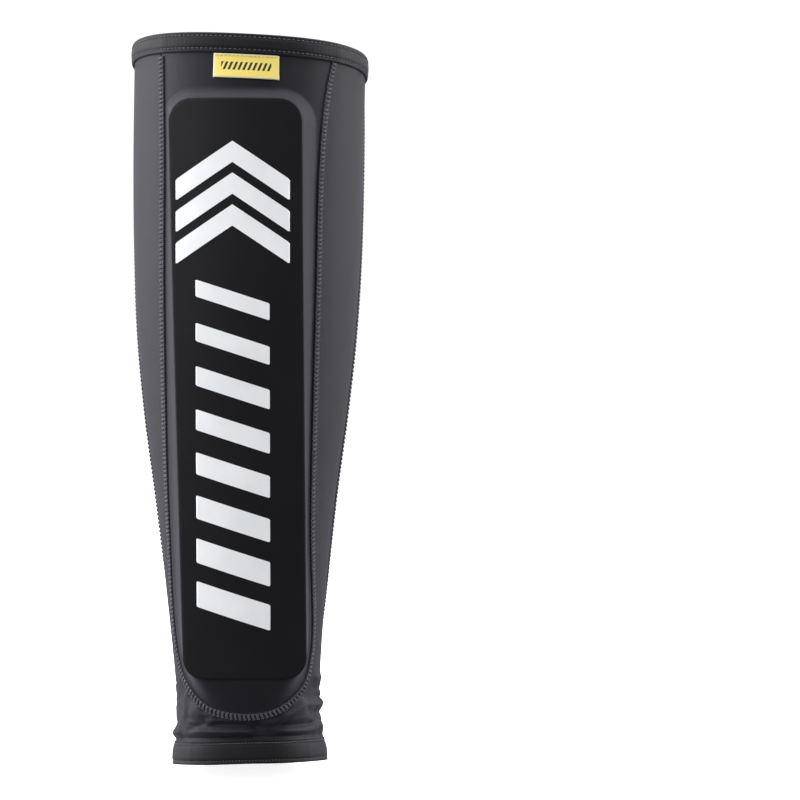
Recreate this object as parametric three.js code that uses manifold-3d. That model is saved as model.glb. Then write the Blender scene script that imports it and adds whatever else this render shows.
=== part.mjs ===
// Shin guard: a stretch sleeve for the lower leg with a moulded foam pad on the shin.
// Millimetres, +Z up, shin towards -Y. It has the shape that a leg inside gives it.
// A place on the leg is a turn about its axis in degrees (0 at the shin, 90 at +X, 180 at the calf),
// a height z, and how far it stands proud of the outer face of the fabric.

import * as THREE from 'three';
import { mergeVertices } from 'three/addons/utils/BufferGeometryUtils.js';
import Module from 'manifold-3d';

const wasm = await Module();
wasm.setup();

// Driving dimensions
const GAP = 0.3;                    // air between pieces that touch
const CLOTH = 0.9;                  // thickness of the stretch cloth
const TOP_HEM_HEIGHT = 9.7;
const BOTTOM_HEM_HEIGHT = 12;
const HEM_LEAF = 0.9;               // thickness of one leaf of a folded hem
const HEM_PROUD = 0.4;              // air between a hem's outer leaf and the cloth inside it
const TUCK = 3;                     // how far the panels run up inside a hem
const ELASTIC = { thick: 1.1, height: 5 };
const STITCH_ROW = { thick: 0.5, height: 0.9, inset: 1.4 };
const SEAM = { width: 4, thick: 0.6, gap: 0.45 };
const PAD = {
  rise: 9,                          // how far the black face stands off the shin
  halfTop: 31.8, halfBottom: 29.4,  // half width of the face at its two ends
  low: 52, high: 327.5,             // heights of the face's lower and upper edge
  radiusLow: 10, radiusHigh: 11,    // corner radii of the face
  spread: 6,                        // how far the upper wall spreads towards the leg
  bend: 105,                        // radius that the face is bent to
  lean: 4,                          // sideways drift of the pad's middle from top to bottom
  back: -22,                        // y where the pad block is cut off inside the leg
};
const FACE_SKIN = 0.6;
const PRINT = 0.25;
const LABEL = { middle: 2.8, width: 31, height: 11.4, thick: 0.6, gap: 0.4 };

const MARKS = {
  middle: -3,
  chevrons: 3, chevronTop: 307, chevronPitch: 15,
  bars: 8, barTop: 236, barPitch: 20.4,
};

// Mesh fineness
const TURN_STEPS = 48;
const RISE_STEPS = 18;
const FRONT_STEPS = 24;
const FACE_STEPS = 12;
const OUTLINE_POINTS = 72;
const SEAM_POINTS = 72;
const closerBelow = (v) => v ** 1.3;  // rows lie closer together near the bottom hem

// Smooth curve through [position, value] pairs, as a function of position.
function through(...points) {
  const slope = (i) => {
    const a = points[Math.max(i - 1, 0)];
    const b = points[Math.min(i + 1, points.length - 1)];
    return (b[1] - a[1]) / (b[0] - a[0]);
  };
  return (x) => {
    let i = 0;
    while (i < points.length - 2 && x > points[i + 1][0]) i += 1;
    const [[x0, y0], [x1, y1]] = [points[i], points[i + 1]];
    const span = x1 - x0;
    const t = THREE.MathUtils.clamp((x - x0) / span, 0, 1);
    const rest = 1 - t;
    return y0 * rest * rest * (1 + 2 * t) + y1 * t * t * (1 + 2 * rest)
      + span * t * rest * (slope(i) * rest - slope(i + 1) * t);
  };
}

// The filled sleeve's shape, by height
const halfWidth = through([0, 37.2], [15, 36.4], [27, 34.8], [52, 36], [95, 39.9], [135, 44.3],
  [175, 49.7], [215, 54], [255, 56.4], [302, 57.4], [362, 57.6]);
const shinLine = through([0, -49], [52, -49.5], [150, -54], [250, -57.5], [362, -56]);
const calfLine = through([0, 28], [25, 24.5], [60, 27.5], [100, 36.5], [150, 48.5], [200, 57.5],
  [260, 62.5], [312, 61.5], [362, 58]);
const widestLine = through([0, -10.5], [60, -10.5], [150, -2], [250, 2], [362, 1]);
const bow = through([0, 2], [50, 0.6], [110, -0.5], [200, -0.65], [290, 0.1], [362, 1.3]);
const shinFlatness = through([0, 2.5], [100, 2.5], [300, 2.15], [362, 2.15]);

const rad = THREE.MathUtils.degToRad;

function legRadius(turn, z) {
  const across = Math.abs(Math.sin(rad(turn)));
  const ahead = Math.cos(rad(turn));
  const depth = ahead > 0 ? widestLine(z) - shinLine(z) : calfLine(z) - widestLine(z);
  const power = 2 + (shinFlatness(z) - 2) * Math.max(ahead, 0) ** 2;
  return ((across / halfWidth(z)) ** power + (Math.abs(ahead) / depth) ** power) ** (-1 / power);
}

function legPoint(turn, z, proud = 0) {
  const radius = legRadius(turn, z) + proud;
  return [bow(z) + radius * Math.sin(rad(turn)), widestLine(z) - radius * Math.cos(rad(turn)), z];
}

// The turn at which the front of the leg has this x.
function turnAt(x, z) {
  let low = -89;
  let high = 89;
  for (let i = 0; i < 30; i += 1) {
    const middle = (low + high) / 2;
    if (legPoint(middle, z)[0] < x) low = middle;
    else high = middle;
  }
  return (low + high) / 2;
}

// Edges of the sleeve: both are cut on a slant, higher at the shin than at the calf.
const slanted = (middle, ahead, right, twice = 0) => (turn) => middle + ahead * Math.cos(rad(turn))
  + right * Math.sin(rad(turn)) + twice * Math.cos(rad(2 * turn));
const topEdge = slanted(356, 5.2, -2.7, -1.9);
const bottomEdge = slanted(5.3, 5.2, 1);

// Half of the calf mesh's spread about the back of the leg, in degrees
const meshSpread = through([0, 35], [15, 41], [45, 60], [85, 80], [135, 90], [185, 90], [260, 84],
  [325, 78], [344, 70], [362, 57]);

// The U seam round the pad as it lies on the front of the leg: x and z of a few points
const seamCurve = new THREE.CatmullRomCurve3([
  [-38.8, 351], [-38.2, 302], [-38.2, 232], [-36.4, 127], [-32.6, 64], [-27.5, 48], [-17, 37],
  [1, 33], [17, 35.5], [28.5, 45], [33, 62], [33.4, 127], [36.4, 232], [38.2, 300], [40.8, 330],
  [44.6, 351],
].map(([x, z]) => new THREE.Vector3(x, 0, z)), false, 'centripetal');

// Surfaces and solids

function geometryOf(positions, index) {
  const geometry = new THREE.BufferGeometry();
  geometry.setAttribute('position', new THREE.Float32BufferAttribute(positions.flat(), 3));
  geometry.setIndex(index);
  return geometry;
}

// A closed skin between an inner (side 0) and an outer (side 1) sheet, each a grid of points.
// place(u, v, side) gives a point for u and v from 0 to 1; a closed skin joins up in u.
function skin(columns, rows, place, closed = false) {
  const across = closed ? columns : columns + 1;
  const positions = [];
  const id = (i, j, side) => side * across * (rows + 1) + j * across + (i % across);
  for (const side of [0, 1]) {
    for (let j = 0; j <= rows; j += 1) {
      for (let i = 0; i < across; i += 1) positions.push(place(i / columns, j / rows, side));
    }
  }
  const index = [];
  const quad = (a, b, c, d) => index.push(a, b, c, a, c, d);
  for (let i = 0; i < columns; i += 1) {
    for (let j = 0; j < rows; j += 1) {
      quad(id(i, j, 1), id(i + 1, j, 1), id(i + 1, j + 1, 1), id(i, j + 1, 1));
      quad(id(i, j, 0), id(i, j + 1, 0), id(i + 1, j + 1, 0), id(i + 1, j, 0));
    }
    quad(id(i, 0, 0), id(i + 1, 0, 0), id(i + 1, 0, 1), id(i, 0, 1));
    quad(id(i, rows, 0), id(i, rows, 1), id(i + 1, rows, 1), id(i + 1, rows, 0));
  }
  for (let j = 0; j < rows && !closed; j += 1) {
    quad(id(0, j, 0), id(0, j, 1), id(0, j + 1, 1), id(0, j + 1, 0));
    quad(id(columns, j, 0), id(columns, j + 1, 0), id(columns, j + 1, 1), id(columns, j, 1));
  }
  return geometryOf(positions, index);
}

// A closed section, counter-clockwise seen along +turn, swept once round the leg.
// Each corner is [proud, height] with the height measured from edge(turn).
function hoop(section, edge) {
  const positions = [];
  const index = [];
  const count = section.length;
  for (let i = 0; i < TURN_STEPS; i += 1) {
    const turn = i * 360 / TURN_STEPS;
    for (const [proud, height] of section) {
      positions.push(legPoint(turn, edge(turn) + height, proud));
    }
    const next = (i + 1) % TURN_STEPS;
    for (let k = 0; k < count; k += 1) {
      const after = (k + 1) % count;
      const [a, b] = [i * count + k, next * count + k];
      const [c, d] = [next * count + after, i * count + after];
      index.push(a, c, b, a, d, c);
    }
  }
  return geometryOf(positions, index);
}

// A ribbon lying on the leg along stations, each {turn, z, across: [dTurnMm, dZ]} of unit length.
function ribbon(stations, width, inner, outer) {
  return skin(stations.length - 1, 2, (u, v, side) => {
    const { turn, z, across } = stations[Math.round(u * (stations.length - 1))];
    const reach = (v - 0.5) * width;
    const degrees = THREE.MathUtils.radToDeg(reach * across[0] / legRadius(turn, z));
    return legPoint(turn + degrees, z + reach * across[1], side ? outer : inner);
  });
}

// Stations along a line of [turn, z] places, with the direction across it
function stationsOn(places) {
  return places.map(([turn, z], i) => {
    const before = legPoint(...places[Math.max(i - 1, 0)]);
    const after = legPoint(...places[Math.min(i + 1, places.length - 1)]);
    const rise = after[2] - before[2];
    const round = Math.sign(places[Math.min(i + 1, places.length - 1)][0]
      - places[Math.max(i - 1, 0)][0]) * Math.hypot(after[0] - before[0], after[1] - before[1]);
    const length = Math.hypot(rise, round);
    return { turn, z, across: [-rise / length, round / length] };
  });
}

// Booleans

function solidOf(geometry) {
  const bare = mergeVertices(geometry.deleteAttribute('normal').deleteAttribute('uv'), 1e-4);
  return new wasm.Manifold(new wasm.Mesh({
    numProp: 3,
    vertProperties: new Float32Array(bare.attributes.position.array),
    triVerts: new Uint32Array(bare.index.array),
  }));
}

function geometryFrom(solid) {
  const { vertProperties, triVerts } = solid.getMesh();
  const geometry = new THREE.BufferGeometry();
  geometry.setAttribute('position', new THREE.BufferAttribute(vertProperties, 3));
  geometry.setIndex(new THREE.BufferAttribute(triVerts, 1));
  return geometry;
}

// A solid through rings of [x, y, z] points, the first towards -Y, closed by a flat cap at each end
function loft(rings) {
  const count = rings[0].length;
  const last = (rings.length - 1) * count;
  const index = [];
  const outline = rings[0].map(([x, , z]) => new THREE.Vector2(x, z));
  for (const [a, b, c] of THREE.ShapeUtils.triangulateShape(outline, [])) {
    index.push(a, b, c, last + a, last + c, last + b);
  }
  for (let start = 0; start < last; start += count) {
    for (let i = 0; i < count; i += 1) {
      const [a, b] = [start + i, start + (i + 1) % count];
      index.push(a, a + count, b + count, a, b + count, b);
    }
  }
  return solidOf(geometryOf(rings.flat(), index));
}

// A prism along Y over an outline of Vector2 (x, z)
function prism(outline, frontY = -90, backY = -8) {
  return loft([frontY, backY].map((y) => outline.map((p) => [p.x, y, p.y])));
}

// A slab behind the pad's face, from depth below it to until further back
function behindFace(depth, until = 48) {
  const [left, right, low, high] = [-42, 42, 15, 345];
  return solidOf(skin(FACE_STEPS, RISE_STEPS, (u, v, side) => {
    const x = THREE.MathUtils.lerp(left, right, u);
    const z = THREE.MathUtils.lerp(low, high, v);
    return [x, faceY(x, z) + (side ? depth : depth + until), z];
  }));
}

function padMiddle(z) {
  return PAD.lean * (0.5 - (z - PAD.low) / (PAD.high - PAD.low));
}

function faceY(x, z) {
  return shinLine(z) - PAD.rise + (x - padMiddle(z)) ** 2 / (2 * PAD.bend);
}

// A layer of the leg's surface over the front
function frontLayer(inner, outer, low, high) {
  return solidOf(skin(FRONT_STEPS, RISE_STEPS, (u, v, side) => {
    const turn = THREE.MathUtils.lerp(-84, 84, u);
    const z = THREE.MathUtils.lerp(low(turn), high(turn), closerBelow(v));
    return legPoint(turn, z, side ? outer : inner);
  }));
}

// The front of the leg filled in, up to one proudness
function legCore(proud) {
  return solidOf(skin(FRONT_STEPS, RISE_STEPS, (u, v, side) => {
    const turn = THREE.MathUtils.lerp(-84, 84, u);
    const z = THREE.MathUtils.lerp(12, 345, closerBelow(v));
    return legPoint(turn, z, side ? proud : -0.75 * legRadius(turn, z));
  }));
}

const tuckTop = (turn) => topEdge(turn) - TOP_HEM_HEIGHT + TUCK;
const tuckBottom = (turn) => bottomEdge(turn) + BOTTOM_HEM_HEIGHT - TUCK;

// Outlines on the front of the leg

// The outline of the pad's face, made smaller all round by shrink
function faceOutline(shrink) {
  const [bottom, top] = [PAD.low + shrink, PAD.high - shrink];
  const [wide, narrow] = [PAD.halfTop - shrink, PAD.halfBottom - shrink];
  const [rLow, rHigh] = [PAD.radiusLow - shrink, PAD.radiusHigh - shrink];
  const [topX, lowX] = [padMiddle(PAD.high), padMiddle(PAD.low)];
  const shape = new THREE.Shape();
  shape.absarc(lowX - narrow + rLow, bottom + rLow, rLow, Math.PI, Math.PI * 1.5);
  shape.absarc(lowX + narrow - rLow, bottom + rLow, rLow, Math.PI * 1.5, Math.PI * 2);
  shape.absarc(topX + wide - rHigh, top - rHigh, rHigh, 0, Math.PI / 2);
  shape.absarc(topX - wide + rHigh, top - rHigh, rHigh, Math.PI / 2, Math.PI);
  return shape.getSpacedPoints(OUTLINE_POINTS).slice(0, -1);
}

const seamLine = seamCurve.getSpacedPoints(600);
const seamClearance = (x, z) => Math.min(...seamLine.map((p) => Math.hypot(p.x - x, p.z - z)));

// Where the pad's walls meet the leg: at the inner edge of the seam, or one spread above the pad
function footOutline(shrink) {
  const face = faceOutline(shrink);
  const margin = SEAM.width / 2 + 0.4 + shrink;
  return face.map((point, i) => {
    const before = face[(i + face.length - 1) % face.length];
    const after = face[(i + 1) % face.length];
    const out = new THREE.Vector2(after.y - before.y, before.x - after.x).normalize();
    const limit = out.y > 0 ? PAD.spread : PAD.spread * 4;
    const step = 0.25;
    let reach = 0;
    while (reach < limit && seamClearance(point.x + out.x * reach, point.y + out.y * reach) > margin) {
      reach += step;
    }
    return point.clone().addScaledVector(out, reach);
  });
}

// The area inside the U seam, moved outwards by grow, carried up past the top hem
function seamOutline(grow) {
  const line = seamCurve.getSpacedPoints(SEAM_POINTS);
  const moved = line.map((point, i) => {
    const along = seamCurve.getTangentAt(i / SEAM_POINTS);
    return new THREE.Vector2(point.x + along.z * grow, point.z - along.x * grow);
  });
  const [first, last] = [moved[0], moved[moved.length - 1]];
  return [new THREE.Vector2(first.x, 380), ...moved, new THREE.Vector2(last.x, 380)];
}

// The pad as a block: its walls run from the face's outline down to its wider foot on the leg.
function padBlock(shrink) {
  const face = faceOutline(shrink);
  const foot = footOutline(shrink);
  const legY = (p) => legPoint(turnAt(p.x, p.y), p.y, GAP)[1];
  return loft([
    face.map((p) => [p.x, -90, p.y]),
    face.map((p) => [p.x, faceY(p.x, p.y) + shrink, p.y]),
    foot.map((p) => [p.x, legY(p) + shrink, p.y]),
    foot.map((p) => [p.x, PAD.back, p.y]),
  ]);
}

// Panels of the sleeve

function backMeshPanel() {
  return skin(FRONT_STEPS, RISE_STEPS, (u, v, side) => {
    const level = THREE.MathUtils.lerp(tuckBottom(180), tuckTop(180), closerBelow(v));
    const turn = 180 + THREE.MathUtils.lerp(-1, 1, u) * (meshSpread(level) - 0.2);
    const z = THREE.MathUtils.lerp(tuckBottom(turn), tuckTop(turn), closerBelow(v));
    return legPoint(turn, z, side ? 0 : -CLOTH);
  });
}

// One piece of stretch cloth: both sides of the leg and the strip below the pad
function bodyPanel() {
  const wrap = solidOf(skin(TURN_STEPS * 2 / 3, RISE_STEPS, (u, v, side) => {
    const level = THREE.MathUtils.lerp(tuckBottom(180), tuckTop(180), closerBelow(v));
    const turn = THREE.MathUtils.lerp(-1, 1, u) * (180 - meshSpread(level) - 0.2);
    const z = THREE.MathUtils.lerp(tuckBottom(turn), tuckTop(turn), closerBelow(v));
    return legPoint(turn, z, side ? 0 : -CLOTH);
  }));
  return geometryFrom(wrap.subtract(prism(seamOutline(GAP / 2))));
}

// The cloth inside the U seam, moulded up over the pad like a hat
function shinPanel() {
  const flange = frontLayer(-CLOTH, 0, () => 20, tuckTop).intersect(prism(seamOutline(-GAP / 2)));
  const crown = FACE_SKIN + GAP;
  const hat = padBlock(0).intersect(behindFace(crown)).subtract(legCore(-CLOTH / 2));
  const hollow = padBlock(CLOTH).intersect(behindFace(crown + CLOTH)).subtract(legCore(-CLOTH - 2));
  return geometryFrom(flange.add(hat).subtract(hollow));
}

function padFoam() {
  const block = padBlock(CLOTH + GAP).intersect(behindFace(FACE_SKIN + CLOTH + 2 * GAP));
  return geometryFrom(block.subtract(legCore(-CLOTH)));
}

function padLining() {
  const outer = -CLOTH - GAP;
  const belowHem = (turn) => topEdge(turn) - TOP_HEM_HEIGHT - 1;
  const layer = frontLayer(outer - 0.6, outer, () => 24, belowHem);
  return geometryFrom(layer.intersect(prism(seamOutline(-1.5))));
}

// The black face and the marks printed on it
function onFace(outline, depth, thick) {
  return geometryFrom(behindFace(depth, thick).intersect(prism(outline)));
}

const padFace = () => onFace(faceOutline(0.3), 0, FACE_SKIN);
const printMark = (outline) => onFace(outline, -PRINT - GAP, PRINT);

// A chevron pointing up, with its tip at x, z
function chevron(x, z, half, drop, thick) {
  const corners = [[0, 0], [-half, -drop], [-half, -drop - thick], [0, -thick], [half, -drop - thick],
    [half, -drop]];
  return corners.map(([dx, dz]) => new THREE.Vector2(x + dx, z + dz));
}

// A bar across the pad that slants down to the right
function slantBar(x, z, half, thick) {
  const fall = half * Math.tan(rad(18));
  const corners = [[-half, fall], [-half, fall - thick], [half, -fall - thick], [half, -fall]];
  return corners.map(([dx, dz]) => new THREE.Vector2(x + dx, z + dz));
}

// Hems

// A band folded over the edge: two leaves joined by a fold at height 0, opening towards -rise
function foldedBand(height, rise) {
  const outer = HEM_PROUD + HEM_LEAF;
  const inner = -CLOTH - 2 * GAP - 2 * HEM_LEAF;
  const leafIn = inner + HEM_LEAF;
  const section = [[inner, -height], [inner, 0], [outer, 0], [outer, -height],
    [HEM_PROUD, -height], [HEM_PROUD, -HEM_LEAF], [leafIn, -HEM_LEAF], [leafIn, -height]];
  return rise > 0 ? section : section.map(([proud, z]) => [proud, -z]).reverse();
}

// A square ring round the leg
function tape(inner, outer, low, high) {
  return [[inner, low], [inner, high], [outer, high], [outer, low]];
}

const elasticOuter = HEM_PROUD - GAP;
const elasticTape = (low) =>
  tape(elasticOuter - ELASTIC.thick, elasticOuter, low, low + ELASTIC.height);
const rowInner = HEM_PROUD + HEM_LEAF + GAP;
const stitchRow = (low) =>
  tape(rowInner, rowInner + STITCH_ROW.thick, low, low + STITCH_ROW.height);

// Seams, the flat-lock stitching that joins two panels edge to edge

function frontSeam() {
  const places = [];
  for (let i = 0; i <= SEAM_POINTS; i += 1) {
    const { x, z } = seamCurve.getPointAt(i / SEAM_POINTS);
    const turn = turnAt(x, z);
    places.push([turn, Math.min(z, topEdge(turn) - TOP_HEM_HEIGHT - 2)]);
  }
  return ribbon(stationsOn(places), SEAM.width, SEAM.gap, SEAM.gap + SEAM.thick);
}

function backSeam(side) {
  const places = [];
  for (let i = 0; i <= RISE_STEPS * 2; i += 1) {
    const level = THREE.MathUtils.lerp(tuckBottom(180), tuckTop(180), i / RISE_STEPS / 2);
    const turn = side * (180 - meshSpread(level));
    const low = bottomEdge(turn) + BOTTOM_HEM_HEIGHT + 2;
    const high = topEdge(turn) - TOP_HEM_HEIGHT - 2;
    places.push([turn, THREE.MathUtils.lerp(low, high, i / RISE_STEPS / 2)]);
  }
  return ribbon(stationsOn(places), SEAM.width, SEAM.gap, SEAM.gap + SEAM.thick);
}

function wovenLabel() {
  const inner = GAP + 0.2;
  const spread = THREE.MathUtils.radToDeg(LABEL.width / 2 / legRadius(0, 340));
  const middle = turnAt(LABEL.middle, 340);
  return skin(10, 2, (u, v, side) => {
    const turn = middle + THREE.MathUtils.lerp(-spread, spread, u);
    const high = topEdge(turn) - TOP_HEM_HEIGHT - LABEL.gap;
    return legPoint(turn, high - (1 - v) * LABEL.height, side ? inner + LABEL.thick : inner);
  });
}

// Materials

const look = (color, roughness) => new THREE.MeshStandardMaterial({ color, roughness, metalness: 0 });
const cloth = look(0x3f4045, 0.8);
const calfMesh = look(0x1c1a1b, 0.85);
const band = look(0x3c3a42, 0.85);
const rubber = look(0x161616, 0.7);
const foam = look(0x2a2a2c, 0.9);
const blackFace = look(0x1b1b1e, 0.6);
const white = look(0xf0f0f2, 0.5);
const thread = look(0x4a4852, 0.8);
const yellow = look(0xe6d24a, 0.8);

// Assembly

const guard = new THREE.Group();

function addPiece(name, geometry, material) {
  const mesh = new THREE.Mesh(geometry, material);
  mesh.name = name;
  guard.add(mesh);
}

addPiece('body_panel', bodyPanel(), cloth);
addPiece('shin_panel', shinPanel(), cloth);
addPiece('back_mesh_panel', backMeshPanel(), calfMesh);
addPiece('pad_foam', padFoam(), foam);
addPiece('pad_lining', padLining(), calfMesh);
addPiece('pad_face', padFace(), blackFace);

for (let i = 0; i < MARKS.chevrons; i += 1) {
  const tip = MARKS.chevronTop - i * MARKS.chevronPitch;
  addPiece(`print_chevron_${i + 1}`, printMark(chevron(MARKS.middle, tip, 27, 18, 10)), white);
}
for (let i = 0; i < MARKS.bars; i += 1) {
  const z = MARKS.barTop - i * MARKS.barPitch;
  addPiece(`print_bar_${i + 1}`, printMark(slantBar(MARKS.middle, z, 17.5, 8 + i * 0.6)), white);
}

addPiece('top_hem', hoop(foldedBand(TOP_HEM_HEIGHT, 1), topEdge), band);
addPiece('bottom_hem', hoop(foldedBand(BOTTOM_HEM_HEIGHT, -1), bottomEdge), band);
addPiece('top_elastic', hoop(elasticTape(-HEM_LEAF - GAP - ELASTIC.height), topEdge), rubber);
addPiece('bottom_elastic', hoop(elasticTape(HEM_LEAF + GAP), bottomEdge), rubber);

const insetTop = STITCH_ROW.inset + STITCH_ROW.height;
addPiece('top_hem_stitch_upper', hoop(stitchRow(-insetTop), topEdge), thread);
addPiece('top_hem_stitch_lower',
  hoop(stitchRow(STITCH_ROW.inset - TOP_HEM_HEIGHT), topEdge), thread);
addPiece('bottom_hem_stitch_upper',
  hoop(stitchRow(BOTTOM_HEM_HEIGHT - insetTop), bottomEdge), thread);
addPiece('bottom_hem_stitch_lower', hoop(stitchRow(STITCH_ROW.inset), bottomEdge), thread);

addPiece('front_seam', frontSeam(), thread);
addPiece('back_seam_left', backSeam(-1), thread);
addPiece('back_seam_right', backSeam(1), thread);
addPiece('woven_label', wovenLabel(), yellow);

// The origin is under the middle of the guard's box, at the height of its lowest edge.
const box = new THREE.Box3().setFromObject(guard);
const middle = box.getCenter(new THREE.Vector3());
guard.position.set(-middle.x, -middle.y, -box.min.z);

export default guard;
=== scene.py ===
"""The looks of the shin guard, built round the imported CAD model.

Shapes are worked out in the CAD part's own millimetres, from the same leg curves, and put() moves
them into the row frame in metres. A place on the leg is a turn about its axis in degrees (0 at the
shin, 90 at +X, 180 at the calf), a height z and how far it stands proud of the cloth's outer face.
"""

import math

import bmesh
import bpy
import numpy as np
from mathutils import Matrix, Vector


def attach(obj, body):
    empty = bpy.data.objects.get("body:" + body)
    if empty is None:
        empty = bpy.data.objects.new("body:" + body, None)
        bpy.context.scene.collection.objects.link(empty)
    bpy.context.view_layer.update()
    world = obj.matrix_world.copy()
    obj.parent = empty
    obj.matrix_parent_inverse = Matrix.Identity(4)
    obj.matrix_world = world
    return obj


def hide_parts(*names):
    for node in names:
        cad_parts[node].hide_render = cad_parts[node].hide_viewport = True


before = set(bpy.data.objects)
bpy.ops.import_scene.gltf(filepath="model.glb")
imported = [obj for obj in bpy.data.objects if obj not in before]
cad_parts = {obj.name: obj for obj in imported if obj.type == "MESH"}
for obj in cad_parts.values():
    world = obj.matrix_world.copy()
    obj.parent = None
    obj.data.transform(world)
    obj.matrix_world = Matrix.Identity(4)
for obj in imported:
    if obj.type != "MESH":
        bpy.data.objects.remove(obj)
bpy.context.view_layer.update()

SHIFT = np.array([-1.1474, 2.1813, -0.0140])  # moves the CAD part's own origin to the row's, mm

# Driving dimensions, millimetres, as in the CAD part
CLOTH = 0.9
TOP_HEM = 9.7
BOTTOM_HEM = 12.0
TUCK = 3.0
HEM_PROUD = 1.3
PAD_RISE = 9.0
PAD_HALF_TOP, PAD_HALF_BOTTOM = 31.8, 29.4
PAD_LOW, PAD_HIGH = 52.0, 327.5
PAD_RADIUS_LOW, PAD_RADIUS_HIGH = 10.0, 11.0
PAD_BEND = 105.0
PAD_LEAN = 4.0
PAD_SPREAD = 6.0
SEAM_WIDTH = 4.0
SEAM_PITCH = 2.1
HEM_PITCH = 2.3
MESH_PITCH = 2.8
MESH_ROW = 1.17
LABEL_MIDDLE, LABEL_WIDTH, LABEL_HEIGHT = 2.8, 31.0, 11.4
MARK_MIDDLE = -3.0

# Cloth simulation of the loose cloth above the bottom hem
SETTLE_FRAMES = 16
SETTLE_MOST = 1.1  # furthest a point is let move, mm
SETTLE_CLEAR, SETTLE_FADE = 30.0, 16.0  # height over the hem where it ends, and how it fades in, mm
SPARE_CLOTH = 0.05  # share by which the loose cloth is too long


# ---------------------------------------------------------------------------------------------
# Leg shape


def through(*points):
    """A smooth curve through (position, value) pairs, as a function of position."""
    at, value = np.array(points, float).T
    before, after = np.r_[0, 0 : len(at) - 1], np.r_[1 : len(at), len(at) - 1]
    slope = (value[after] - value[before]) / (at[after] - at[before])

    def curve(x):
        i = np.clip(np.searchsorted(at, x) - 1, 0, len(at) - 2)
        span = at[i + 1] - at[i]
        t = np.clip((x - at[i]) / span, 0, 1)
        rest = 1 - t
        ends = value[i] * rest**2 * (1 + 2 * t) + value[i + 1] * t**2 * (1 + 2 * rest)
        return ends + span * t * rest * (slope[i] * rest - slope[i + 1] * t)

    return curve


half_width = through(
    (0, 37.2), (15, 36.4), (27, 34.8), (52, 36), (95, 39.9), (135, 44.3),
    (175, 49.7), (215, 54), (255, 56.4), (302, 57.4), (362, 57.6),
)
shin_line = through((0, -49), (52, -49.5), (150, -54), (250, -57.5), (362, -56))
calf_line = through(
    (0, 28), (25, 24.5), (60, 27.5), (100, 36.5), (150, 48.5), (200, 57.5),
    (260, 62.5), (312, 61.5), (362, 58),
)
widest_line = through((0, -10.5), (60, -10.5), (150, -2), (250, 2), (362, 1))
shin_flatness = through((0, 2.5), (100, 2.5), (300, 2.15), (362, 2.15))
mesh_spread = through(
    (0, 35), (15, 41), (45, 60), (85, 80), (135, 90), (185, 90), (260, 84),
    (325, 78), (344, 70), (362, 57),
)


bow = through((0, 2), (50, 0.6), (110, -0.5), (200, -0.65), (290, 0.1), (362, 1.3))


def top_edge(turn):
    a = np.radians(turn)
    return 356 + 5.2 * np.cos(a) - 2.7 * np.sin(a) - 1.9 * np.cos(2 * a)


def bottom_edge(turn):
    a = np.radians(turn)
    return 5.3 + 5.2 * np.cos(a) + np.sin(a)


def tuck_top(turn):
    return top_edge(turn) - TOP_HEM + TUCK


def tuck_bottom(turn):
    return bottom_edge(turn) + BOTTOM_HEM - TUCK


def leg_radius(turn, z):
    across = np.abs(np.sin(np.radians(turn)))
    ahead = np.cos(np.radians(turn))
    depth = np.where(ahead > 0, widest_line(z) - shin_line(z), calf_line(z) - widest_line(z))
    power = 2 + (shin_flatness(z) - 2) * np.maximum(ahead, 0) ** 2
    return ((across / half_width(z)) ** power + (np.abs(ahead) / depth) ** power) ** (-1 / power)


def leg_point(turn, z, proud=0.0):
    turn, z = np.broadcast_arrays(np.asarray(turn, float), np.asarray(z, float))
    r = leg_radius(turn, z) + proud
    a = np.radians(turn)
    return np.stack([bow(z) + r * np.sin(a), widest_line(z) - r * np.cos(a), z], -1)


def turn_at(x, z):
    """The turn at which the front of the leg has this x."""
    x, z = np.broadcast_arrays(np.asarray(x, float), np.asarray(z, float))
    low, high = np.full(x.shape, -89.0), np.full(x.shape, 89.0)
    for _ in range(30):
        middle = (low + high) / 2
        less = leg_point(middle, z)[..., 0] < x
        low, high = np.where(less, middle, low), np.where(less, high, middle)
    return (low + high) / 2


# Folds where the sleeve bunches above the bottom hem, heights measured from the hem's upper edge:
# (from turn, from height, to turn, to height, half width, how proud), degrees and millimetres
FOLDS = [
    (-30, 7.0, 20, 5.2, 1.5, -2.1),
    (-46, 3.6, 12, 3.6, 1.8, 1.3),
    (8, 4.2, 58, 18, 2.4, 1.6),
    (18, 5.4, 70, 6.4, 1.4, -2.6),
    (-112, 0.9, 108, 0.9, 1.4, -2.3),
    (60, 28.5, 106, 29.2, 2.4, 0.8),
    (62, 24, 108, 24.2, 1.6, -0.8),
    (48, 14.6, 116, 17.0, 2.3, 1.7),
    (64, 12, 112, 12.3, 1.4, -1.0),
    (58, 5, 116, 5.4, 1.8, 0.7),
    (-124, 4.0, -56, 4.0, 2.4, 1.4),
    (-112, 8.5, -62, 9.0, 1.6, -0.4),
    (-54, 24, -50, 9, 2.4, 0.7),
    (112, 20, 150, 17, 2.2, 1.0),
    (205, 17, 250, 21, 2.4, 1.0),
    (150, 8.5, 212, 7.5, 1.8, 0.7),
    (140, 28, 190, 31, 3.0, 0.5),
    (200, 36, 246, 33, 3.0, 0.7),
]
ARC_PER_DEGREE = 0.63  # millimetres round the ankle for each degree of turn


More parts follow.
